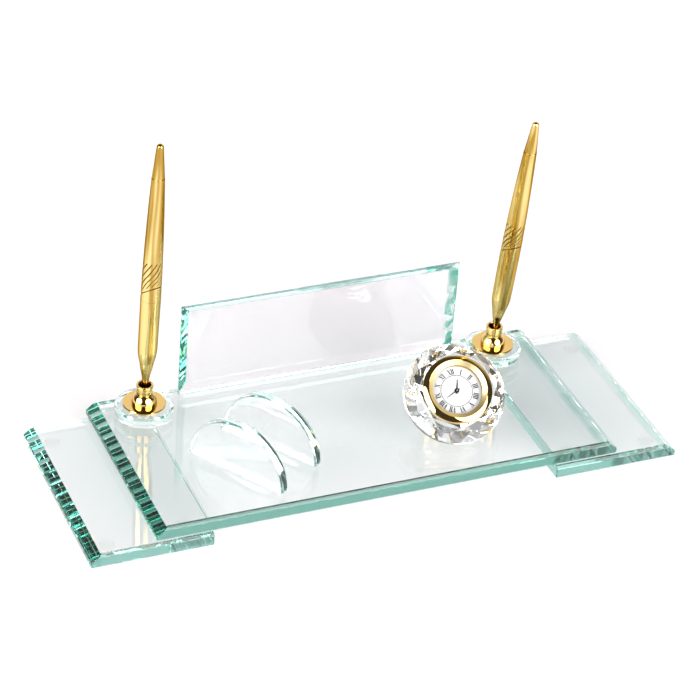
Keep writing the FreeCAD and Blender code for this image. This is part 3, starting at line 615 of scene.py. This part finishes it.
def smooth_below(degrees):
    bpy.ops.object.shade_smooth_by_angle(angle=math.radians(degrees))


def copy_of(name, new_name):
    pick(nodes[name])
    bpy.ops.object.duplicate()
    piece = bpy.context.object
    body = piece["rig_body"]
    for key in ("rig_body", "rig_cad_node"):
        del piece[key]
    piece.parent = None
    piece.name = new_name
    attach(piece, body)
    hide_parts(name)
    return piece


def polished_copy(name, arris, flat=False):
    piece = copy_of(name, name + "_polished")
    bpy.ops.object.mode_set(mode="EDIT")
    bpy.ops.mesh.select_all(action="SELECT")
    bpy.ops.mesh.remove_doubles(threshold=WELD)
    bpy.ops.mesh.dissolve_limited(angle_limit=ONE_FACE)
    bpy.ops.mesh.select_all(action="DESELECT")
    bpy.ops.mesh.select_mode(type="EDGE")
    bpy.ops.mesh.edges_select_sharp(sharpness=SHARP_FACETS if flat else SHARP_CURVES)
    bpy.ops.mesh.bevel(offset=arris * MM, segments=1, affect="EDGES")
    bpy.ops.object.mode_set(mode="OBJECT")
    if piece.data.has_custom_normals:
        bpy.ops.mesh.customdata_custom_splitnormals_clear()
    if flat:
        bpy.ops.object.shade_flat()
    else:
        smooth_below(LEAF_SMOOTH)
    return piece


polished = [polished_copy(leaf, LEAF_ARRIS) for leaf in ("card_leaf_front", "card_leaf_rear")]
polished.append(polished_copy("clock_crystal", CRYSTAL_ARRIS, flat=True))
print("polished:", [piece.name for piece in polished])

# %% [markdown]
# The plates get a wider arris and their own glass. The right ends of the upper and the right
# lower plate are also ground from below. Bisect does that in one cut: it slices the mesh along a
# slanted plane, throws the outer part away and closes the cut with a new face.

# %% Plates
PLATE_ARRIS = 0.35
UNDERCUT_WIDTH, UNDERCUT_RISE = 5.0 * MM, 2.6 * MM


def undercut(piece, node_name):
    low, high = box_of(node_name)
    pick(piece)
    bpy.ops.object.mode_set(mode="EDIT")
    bpy.ops.mesh.select_all(action="SELECT")
    bpy.ops.mesh.bisect(plane_co=(high.x, 0, low.z + UNDERCUT_RISE),
                        plane_no=(UNDERCUT_RISE, 0, -UNDERCUT_WIDTH),
                        use_fill=True, clear_outer=True)
    bpy.ops.object.mode_set(mode="OBJECT")


for plate in ("lower_plate_left", "lower_plate_right", "upper_plate", "upright_plate"):
    piece = polished_copy(plate, PLATE_ARRIS, flat=True)
    piece.data.materials[0] = plate_glass[plate]
    if plate in ("lower_plate_right", "upper_plate"):
        undercut(piece, plate)
    print("plate:", piece.name, len(piece.data.polygons), "faces")

# %% [markdown]
# The discs under the pens are turned from clear glass. A cylinder with many sides is a start; its
# upper rim gets the wide ground bevel of the real disc and its lower rim a fine arris. Shading by
# angle keeps the wall round and the bevels crisp.

# %% Clear discs
DISC_FACES, DISC_SMOOTH = 160, 20
UPPER_BEVEL, LOWER_BEVEL = 1.2 * MM, 0.3 * MM
SAME_HEIGHT = 1e-6


def open_with(piece, kind, chosen):
    bpy.ops.object.mode_set(mode="EDIT")
    bpy.ops.mesh.select_mode(type=kind)
    bpy.ops.mesh.select_all(action="DESELECT")
    bpy.ops.object.mode_set(mode="OBJECT")
    elements = piece.data.edges if kind == "EDGE" else piece.data.polygons
    for index in chosen:
        elements[index].select = True
    bpy.ops.object.mode_set(mode="EDIT")


def rim_bevel(piece, height, width):
    points = piece.data.vertices
    rim = [edge.index for edge in piece.data.edges
           if all(abs(points[i].co.z - height) < SAME_HEIGHT for i in edge.vertices)]
    open_with(piece, "EDGE", rim)
    bpy.ops.mesh.bevel(offset=width, segments=1, affect="EDGES")
    bpy.ops.object.mode_set(mode="OBJECT")


def clear_disc(side):
    name = "pen_disc_" + side
    low, high = box_of(name)
    clear_selection()
    bpy.ops.mesh.primitive_cylinder_add(vertices=DISC_FACES, radius=(high.x - low.x) / 2,
                                        depth=high.z - low.z, location=(low + high) / 2)
    disc = bpy.context.object
    disc.name = name + "_ground"
    bpy.ops.object.transform_apply(location=True, rotation=False, scale=False)
    rim_bevel(disc, high.z, UPPER_BEVEL)
    rim_bevel(disc, low.z, LOWER_BEVEL)
    smooth_below(DISC_SMOOTH)
    disc.data.materials.append(finish_of["clear_glass"])
    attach(disc, "base")
    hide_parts(name)
    return disc


print("discs:", [clear_disc(side).name for side in SIDES])

# %% [markdown]
# The upper half of each pen is a slightly bowed tube with a stepped bore. Its outline is a closed
# line of points, each with its radius and its height along the pen in millimetres. The points lie
# close together where the engraving comes later. A circle of edges is the start: its points are
# moved to the outline, and spin turns that into a solid, as a lathe would.

# %% Barrel outline
BARREL_FOOT, BARREL_TOP = 67.0, 144.6
FOOT_RADIUS, TOP_RADIUS, BOW = 5.8, 3.7, 0.396
LINE_LOW, LINE_HIGH = 71.7, 72.5
SLASH_LOW, SLASH_HIGH, SLASH_PITCH = 73.2, 92.2, 9.0
FOOT_ROWS, SLASH_ROWS, TOP_ROWS = (BARREL_FOOT, 68.2, 69.5, 70.8), 20, 12
BORES = ((2.22, BARREL_TOP), (2.22, 130.0), (2.6, 130.0), (2.6, 100.0), (3.62, 100.0),
         (3.62, 80.0), (4.1, 80.0), (4.1, BARREL_FOOT))


def barrel_radius(z):
    t = (z - BARREL_FOOT) / (BARREL_TOP - BARREL_FOOT)
    return FOOT_RADIUS + (TOP_RADIUS - FOOT_RADIUS) * t + 4 * BOW * t * (1 - t)


def barrel_outline():
    heights = [*FOOT_ROWS, LINE_LOW, LINE_HIGH]
    heights += [SLASH_LOW + k for k in range(SLASH_ROWS)]
    heights += [BARREL_TOP - (BARREL_TOP - SLASH_HIGH) * k / TOP_ROWS
                for k in range(TOP_ROWS - 1, -1, -1)]
    return [(barrel_radius(z), z) for z in heights] + list(BORES)


def spin_outline(name, outline, steps):
    clear_selection()
    bpy.ops.mesh.primitive_circle_add(vertices=len(outline), calc_uvs=False, location=(0, 0, 0))
    piece = bpy.context.object
    piece.name = name
    for point, (r, z) in zip(piece.data.vertices, outline):
        point.co = (r * MM, 0, z * MM)
    bpy.ops.object.mode_set(mode="EDIT")
    bpy.ops.mesh.select_all(action="SELECT")
    bpy.ops.mesh.spin(steps=steps, angle=2 * math.pi, center=(0, 0, 0), axis=(0, 0, 1))
    bpy.ops.mesh.select_all(action="SELECT")
    bpy.ops.mesh.remove_doubles(threshold=WELD)
    bpy.ops.mesh.normals_make_consistent(inside=False)
    bpy.ops.object.mode_set(mode="OBJECT")
    return piece


print("outline points:", len(barrel_outline()))

# %% [markdown]
# On the real pen a slanted line is engraved round the barrel just above the joint, and twelve
# slashes wind upwards from it. Faces that follow such lines are needed first. So the faces of one
# row and of three in every ten columns are noted while the barrel is still straight. Then the
# rows are tilted and the columns wound into a helix, and the noted faces go along.

# %% Wind the barrel
COLUMNS = 120
SLASH_EVERY, SLASH_COLUMNS = 10, (0, 1, 2)
SLANT_END, SLANT_FRONT, SLANT_SIDE = 84.0, 0.66, 0.45
SKIN = 0.1


def wound(z):
    return min(max(z - SLASH_LOW, 0.0), SLASH_HIGH - SLASH_LOW) / SLASH_PITCH


def slanted(z):
    below = (z - BARREL_FOOT) / (LINE_LOW - BARREL_FOOT)
    above = (SLANT_END - z) / (SLANT_END - LINE_HIGH)
    return max(0.0, min(1.0, below, above))


def outside(r, z):
    return r > barrel_radius(z) - SKIN


def engraved_faces(mesh):
    line, slashes = [], []
    for face in mesh.polygons:
        x, y, z = (value / MM for value in face.center)
        if not outside(math.hypot(x, y), z):
            continue
        column = int((math.atan2(y, x) % (2 * math.pi)) / (2 * math.pi) * COLUMNS)
        if LINE_LOW < z < LINE_HIGH:
            line.append(face.index)
        if SLASH_LOW + 1 < z < SLASH_HIGH and column % SLASH_EVERY in SLASH_COLUMNS:
            slashes.append(face.index)
    return line, slashes


def wind(mesh, facing):
    for point in mesh.vertices:
        x, y, z = (value / MM for value in point.co)
        r = math.hypot(x, y)
        turn = math.atan2(y, x)
        if outside(r, z):
            turn += wound(z)
            slope = (SLANT_FRONT * math.cos(turn - facing) + SLANT_SIDE * math.sin(turn - facing))
            z += slanted(z) * r * slope
        point.co = Vector((r * math.cos(turn), r * math.sin(turn), z)) * MM


print("slashes round the barrel:", COLUMNS // SLASH_EVERY)

# %% [markdown]
# The noted faces are inset a little and pushed in, and they get a much darker and rougher gold.
# The finished barrel is then laid along its pen. FACING is the direction, in degrees, of the side
# that each pen turns to the viewer: the slanted line rises towards that side and to the right of
# it.

# %% Engraved pen barrels
FACING = {"left": -110.0, "right": -118.5}
LINE_CUT, SLASH_CUT = (0.04, 0.28), (0.2, 0.16)
BARREL_LIFT, BARREL_SMOOTH = 0.4, 25


def push_in(piece, faces, width, depth):
    for index in faces:
        piece.data.polygons[index].material_index = 1
    open_with(piece, "FACE", faces)
    bpy.ops.mesh.inset(thickness=width * MM, depth=-depth * MM)
    bpy.ops.object.mode_set(mode="OBJECT")


def along_joint(name, lift=0.0):
    axis = joint_axis(name)
    place = Matrix.Translation(Vector(joint_of[name]["pos_m"]) + lift * MM * axis)
    return place @ UP.rotation_difference(axis).to_matrix().to_4x4()


def engraved_barrel(side):
    name = "pen_" + side + "_upper_barrel"
    piece = spin_outline(name + "_engraved", barrel_outline(), COLUMNS)
    line, slashes = engraved_faces(piece.data)
    wind(piece.data, math.radians(FACING[side]))
    piece.data.materials.append(pen_finish[side])
    piece.data.materials.append(finish_of["engraving"])
    push_in(piece, line, *LINE_CUT)
    push_in(piece, slashes, *SLASH_CUT)
    smooth_below(BARREL_SMOOTH)
    piece.data.transform(along_joint("pen_" + side + "_lift", BARREL_LIFT))
    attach(piece, "pen_" + side + "_top")
    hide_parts(name)
    return piece


for side in SIDES:
    print("barrel:", len(engraved_barrel(side).data.polygons), "faces")

# %% [markdown]
# The ring between the two halves of a pen is polished flush with the barrel, so the joint almost
# disappears there. A copy of the ring is widened about the pen's own axis.

# %% Flush joint rings
RING_RADIUS, FLUSH_RADIUS = 5.65, 5.79


def flush_ring(side):
    name = "pen_" + side + "_joint_ring"
    piece = copy_of(name, name + "_flush")
    place = along_joint("pen_" + side + "_lift")
    wider = FLUSH_RADIUS / RING_RADIUS
    piece.data.transform(place @ Matrix.Diagonal((wider, wider, 1, 1)) @ place.inverted())
    piece.data.materials.clear()
    piece.data.materials.append(pen_finish[side])
    return piece


for side in SIDES:
    print("ring:", flush_ring(side).name)

# %% [markdown]
# The dial is printed with roman numerals that stand on a thin circle, tops outwards. A numeral is
# a few strokes: thick bars, thin bars and short serifs. The tables hold them for each sign in
# millimetres: where a bar stands at its foot and its top and how wide it is, and where a serif
# sits, how long it is and whether it is at the foot (-1) or the top (1).

# %% Numeral strokes
NUMERALS = ("XII", "I", "II", "III", "IIII", "V", "VI", "VII", "VIII", "IX", "X", "XI")
THICK, THIN, SERIF, TALL = 0.6, 0.22, 0.2, 3.2
WIDTHS = {"I": 0.94, "V": 1.9, "X": 2.0}
BARS = {
    "I": ((0, 0, THICK),),
    "V": ((0, -0.68, THICK), (0, 0.72, THIN)),
    "X": ((0.72, -0.72, THICK), (-0.72, 0.72, THIN)),
}
SERIFS = {
    "I": ((0, 0.84, -1), (0, 0.84, 1)),
    "V": ((-0.68, 0.95, 1), (0.72, 0.7, 1)),
    "X": ((-0.72, 0.9, 1), (0.72, 0.75, 1), (-0.72, 0.75, -1), (0.72, 0.9, -1)),
}


def bar(x_low, x_high, width):
    half = width / 2
    low, high = -TALL / 2, TALL / 2
    return [(x_low - half, low), (x_low + half, low), (x_high + half, high), (x_high - half, high)]


def serif(x, width, end):
    half = width / 2
    low, high = sorted((end * (TALL / 2 - SERIF), end * TALL / 2))
    return [(x - half, low), (x + half, low), (x + half, high), (x - half, high)]


def numeral_strokes(text):
    start = -sum(WIDTHS[sign] for sign in text) / 2
    strokes = []
    for sign in text:
        x = start + WIDTHS[sign] / 2
        strokes += [bar(x + low, x + high, width) for low, high, width in BARS[sign]]
        strokes += [serif(x + at, width, end) for at, width, end in SERIFS[sign]]
        start += WIDTHS[sign]
    return strokes


print("strokes:", sum(len(numeral_strokes(text)) for text in NUMERALS))

# %% [markdown]
# Ink has a thickness. So a flat print is extruded by a few hundredths of a millimetre and laid on
# the dial. The dial leans back in the crystal, square to the axis along which the clock pulls out,
# and the print is made lying flat first, because that is easier.

# %% Lay a print on the dial
DIAL = along_joint("clock_pull")
PRINT_FOOT, PRINT_HEIGHT = 6.69, 0.035


def raise_print(piece, finish_name):
    pick(piece)
    bpy.ops.object.mode_set(mode="EDIT")
    bpy.ops.mesh.select_all(action="SELECT")
    bpy.ops.mesh.extrude_region_move(TRANSFORM_OT_translate={"value": (0, 0, PRINT_HEIGHT * MM)})
    bpy.ops.mesh.select_all(action="SELECT")
    bpy.ops.mesh.normals_make_consistent(inside=False)
    bpy.ops.object.mode_set(mode="OBJECT")
    piece.data.transform(DIAL @ Matrix.Translation((0, 0, PRINT_FOOT * MM)))
    piece.data.materials.append(finish_of[finish_name])
    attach(piece, "clock")
    return piece


print("dial at:", [round(value, 4) for value in DIAL.translation])

# %% [markdown]
# Each stroke of a numeral starts as a plane whose four corners are set, and all strokes are then
# joined to one print. The circle starts as a ring of edges that is extruded and widened.

# %% Dial print
NUMERAL_RADIUS, HOUR_ANGLE = 11.4, 30
CIRCLE_INNER, CIRCLE_OUTER, CIRCLE_POINTS = 9.04, 9.4, 120


def stroke_plane(corners, place):
    bpy.ops.mesh.primitive_plane_add(size=1.0)
    plane = bpy.context.object
    face = plane.data.polygons[0]
    for index, (x, y) in zip(face.vertices, corners):
        plane.data.vertices[index].co = place @ Vector((x * MM, y * MM, 0))
    return plane


def joined(pieces, name):
    clear_selection()
    for piece in pieces:
        piece.select_set(True)
    bpy.context.view_layer.objects.active = pieces[0]
    bpy.ops.object.join()
    whole = bpy.context.object
    whole.name = name
    return whole


def printed_numerals():
    clear_selection()
    planes = []
    for hour, text in enumerate(NUMERALS):
        place = (turned("Z", -HOUR_ANGLE * hour)
                 @ Matrix.Translation((0, NUMERAL_RADIUS * MM, 0)))
        planes += [stroke_plane(corners, place) for corners in numeral_strokes(text)]
    return raise_print(joined(planes, "dial_numerals"), "black_hand")


def printed_circle():
    clear_selection()
    bpy.ops.mesh.primitive_circle_add(vertices=CIRCLE_POINTS, radius=CIRCLE_INNER * MM)
    circle = bpy.context.object
    circle.name = "dial_circle"
    wider = CIRCLE_OUTER / CIRCLE_INNER
    bpy.ops.object.mode_set(mode="EDIT")
    bpy.ops.mesh.select_mode(type="EDGE")
    bpy.ops.mesh.select_all(action="SELECT")
    bpy.ops.mesh.extrude_edges_move()
    bpy.ops.transform.resize(value=(wider, wider, 1.0))
    bpy.ops.object.mode_set(mode="OBJECT")
    return raise_print(circle, "black_hand")


print("print:", len(printed_numerals().data.polygons), len(printed_circle().data.polygons))

# %% [markdown]
# The bezel has two bands. The outer one is a polished cone that mirrors the room: black where the
# room is dark, white where a softbox stands. The inner one slopes down to the lens and is satin,
# so it only glows. Both belong to one turned ring, spun like the barrels, with a second finish on
# the faces of the inner slope.

# %% Clock bezel
BEZEL = ((16.6, 7.7), (17.3, 7.7), (17.3, 9.5), (20.2, 9.5), (20.2, 10.25), (20.1, 10.5),
         (19.9, 10.66), (18.6, 11.36), (17.4, 11.92), (17.15, 11.98), (16.95, 11.92), (14.4, 10.2),
         (14.4, 10.0), (16.6, 10.0))
BEZEL_STEPS, BEZEL_SMOOTH = 160, 14
SATIN_RADIUS, SATIN_FOOT = 16.95, 10.05


def turned_bezel():
    piece = spin_outline("clock_bezel_turned", BEZEL, BEZEL_STEPS)
    for finish_name in ("gold_bezel", "gold_satin"):
        piece.data.materials.append(finish_of[finish_name])
    for face in piece.data.polygons:
        x, y, z = (value / MM for value in face.center)
        inner = math.hypot(x, y) < SATIN_RADIUS and z > SATIN_FOOT
        face.material_index = 1 if inner else 0
    smooth_below(BEZEL_SMOOTH)
    piece.data.transform(DIAL)
    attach(piece, "clock")
    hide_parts("clock_bezel")
    return piece


print("bezel:", len(turned_bezel().data.polygons), "faces")
